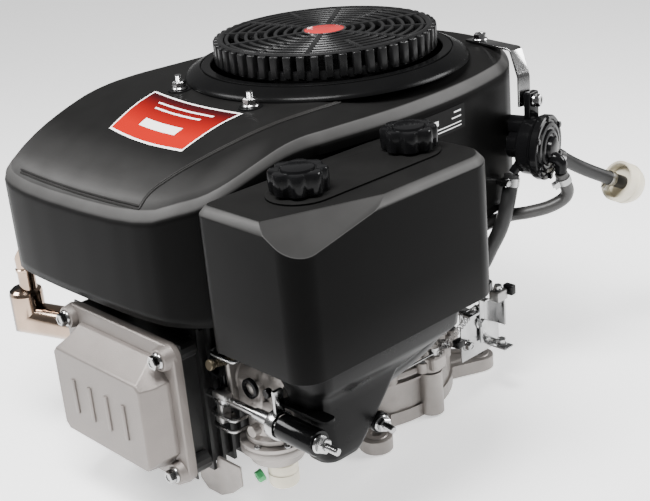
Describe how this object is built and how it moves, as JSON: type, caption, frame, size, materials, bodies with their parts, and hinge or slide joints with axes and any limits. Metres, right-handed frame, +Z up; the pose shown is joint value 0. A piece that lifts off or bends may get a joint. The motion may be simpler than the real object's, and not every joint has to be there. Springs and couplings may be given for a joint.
{
  "type": "small gasoline engine",
  "caption": "Vertical-shaft air-cooled single-cylinder overhead-valve petrol engine with blower housing, air cleaner, carburettor, fuel pump and exhaust elbow.",
  "frame": {"origin": "crankshaft axis at the underside of the mounting feet", "axes": "+Z up the crankshaft, -Y towards the cylinder head, +X towards the intake side"},
  "size_m": [0.4165, 0.5389, 0.417],
  "materials": {
    "cast_aluminium": "as cast",
    "machined_steel": "machined",
    "zinc_plate": "bright zinc plate",
    "exhaust_steel": "bright, heat tinted",
    "textured_plastic": "fine texture",
    "gloss_plastic": "glossy",
    "rubber": "satin",
    "filter_paper": "pleated paper",
    "cream_plastic": "satin",
    "cast_iron": "machined",
    "gasket": "matt",
    "ceramic": "glazed"
  },
  "bodies": {
    "engine": {"oil_sump": "cast_aluminium", "crankcase": "cast_aluminium", "cylinder_head": "cast_aluminium", "valve_cover": "cast_aluminium", "carburetor_body": "cast_aluminium", "carburetor_bowl": "cast_aluminium", "deflector_plate": "cast_aluminium", "dipstick_tube": "machined_steel", "valve_cover_bolt_1": "zinc_plate", "valve_cover_bolt_2": "zinc_plate", "valve_cover_bolt_3": "zinc_plate", "valve_cover_bolt_4": "zinc_plate", "housing_nut_1": "zinc_plate", "housing_nut_2": "zinc_plate", "carburetor_stud": "zinc_plate", "air_cleaner_strap": "zinc_plate", "pump_strap": "zinc_plate", "control_bracket": "zinc_plate", "exhaust_elbow": "exhaust_steel", "blower_housing": "textured_plastic", "fan_ring": "textured_plastic", "air_cleaner_cover": "textured_plastic", "air_cleaner_base": "textured_plastic", "intake_duct": "textured_plastic", "intake_insulator": "gloss_plastic", "stud_spacer": "gloss_plastic", "fuel_pump": "gloss_plastic", "fuel_pump_cover": "gloss_plastic", "ignition_coil": "gloss_plastic", "starter_motor": "gloss_plastic", "carburetor_fuel_hose": "rubber", "vent_hose": "rubber", "breather_hose": "rubber", "fuel_hose": "rubber", "air_filter_element": "filter_paper", "fuel_solenoid": "cream_plastic", "fuel_hose_fitting": "cream_plastic", "sump_gasket": "gasket", "valve_cover_gasket": "gasket", "spark_plug": "ceramic"},
    "crank": {"crankshaft": "machined_steel", "flywheel": "cast_iron", "cooling_fan": "textured_plastic", "fan_screen": "textured_plastic"},
    "cam": {"camshaft": "machined_steel"},
    "rod": {"connecting_rod": "machined_steel"},
    "piston_body": {"piston": "cast_aluminium", "wrist_pin": "machined_steel"},
    "intake_valve_body": {"intake_valve": "machined_steel"},
    "exhaust_valve_body": {"exhaust_valve": "machined_steel"},
    "intake_rocker_body": {"intake_rocker": "machined_steel"},
    "exhaust_rocker_body": {"exhaust_rocker": "machined_steel"},
    "knob_1": {"cover_knob_1": "gloss_plastic"},
    "knob_2": {"cover_knob_2": "gloss_plastic"},
    "throttle_control": {"throttle_control_lever": "zinc_plate"},
    "governor": {"governor_lever": "zinc_plate"},
    "throttle_valve": {"throttle_valve_lever": "zinc_plate"},
    "choke": {"choke_lever": "zinc_plate"},
    "pinion": {"starter_pinion": "machined_steel"},
    "dipstick_body": {"dipstick": "gloss_plastic"}
  },
  "joints": [
    {"name": "crank_spin", "type": "hinge", "parent": "engine", "child": "crank", "pos_m": [0, 0, 0], "axis": [0, 0, 1], "continuous": true},
    {"name": "cam_spin", "type": "hinge", "parent": "engine", "child": "cam", "pos_m": [-0.048, 0, 0], "axis": [0, 0, 1], "continuous": true},
    {"name": "big_end", "type": "hinge", "parent": "crank", "child": "rod", "pos_m": [0, -0.031, 0.104], "axis": [0, 0, 1], "continuous": true, "deforming": ["connecting_rod"]},
    {"name": "piston_stroke", "type": "slide", "parent": "engine", "child": "piston_body", "axis": [0, 1, 0], "range_m": [0, 0.062]},
    {"name": "intake_lift", "type": "slide", "parent": "engine", "child": "intake_valve_body", "axis": [0, 1, 0], "range_m": [0, 0.005], "stiffness_N_per_m": 2000},
    {"name": "exhaust_lift", "type": "slide", "parent": "engine", "child": "exhaust_valve_body", "axis": [0, 1, 0], "range_m": [0, 0.005], "stiffness_N_per_m": 2000},
    {"name": "intake_rocker_pivot", "type": "hinge", "parent": "engine", "child": "intake_rocker_body", "pos_m": [0.021, -0.2675, 0.094], "axis": [-1, 0, 0], "range_deg": [0, 12]},
    {"name": "exhaust_rocker_pivot", "type": "hinge", "parent": "engine", "child": "exhaust_rocker_body", "pos_m": [-0.021, -0.2675, 0.094], "axis": [-1, 0, 0], "range_deg": [0, 12]},
    {"name": "knob_1_turn", "type": "hinge", "parent": "engine", "child": "knob_1", "pos_m": [0.178, -0.2, 0.3], "axis": [0, 0, 1], "continuous": true},
    {"name": "knob_2_turn", "type": "hinge", "parent": "engine", "child": "knob_2", "pos_m": [0.178, -0.085, 0.3], "axis": [0, 0, 1], "continuous": true},
    {"name": "throttle_control_turn", "type": "hinge", "parent": "engine", "child": "throttle_control", "pos_m": [0.1225, 0.055, 0.08], "axis": [1, 0, 0], "range_deg": [-22, 22]},
    {"name": "governor_turn", "type": "hinge", "parent": "engine", "child": "governor", "pos_m": [0.106, 0.005, 0.065], "axis": [0, 0, 1], "range_deg": [-10, 10]},
    {"name": "throttle_valve_turn", "type": "hinge", "parent": "engine", "child": "throttle_valve", "pos_m": [0.104, -0.195, 0.148], "axis": [0, 0, 1], "range_deg": [-22, 22]},
    {"name": "choke_turn", "type": "hinge", "parent": "engine", "child": "choke", "pos_m": [0.138, -0.195, 0.148], "axis": [0, 0, 1], "range_deg": [0, 60]},
    {"name": "starter_pinion_travel", "type": "slide", "parent": "engine", "child": "pinion", "axis": [0, 0, 1], "range_m": [0, 0.012], "stiffness_N_per_m": 100, "springref_m": -0.004},
    {"name": "dipstick_pull", "type": "slide", "parent": "engine", "child": "dipstick_body", "axis": [0, 0, 1], "range_m": [0, 0.045]}
  ],
  "couplings": [
    {"joint": "cam_spin", "follows": "crank_spin", "ratio": -0.5},
    {"joint": "big_end", "follows": "crank_spin", "ratio": -1},
    {"joint": "intake_rocker_pivot", "follows": "intake_lift", "rad_per_m": 40.143},
    {"joint": "exhaust_rocker_pivot", "follows": "exhaust_lift", "rad_per_m": 40.143},
    {"joint": "throttle_valve_turn", "follows": "governor_turn", "ratio": 2}
  ]
}
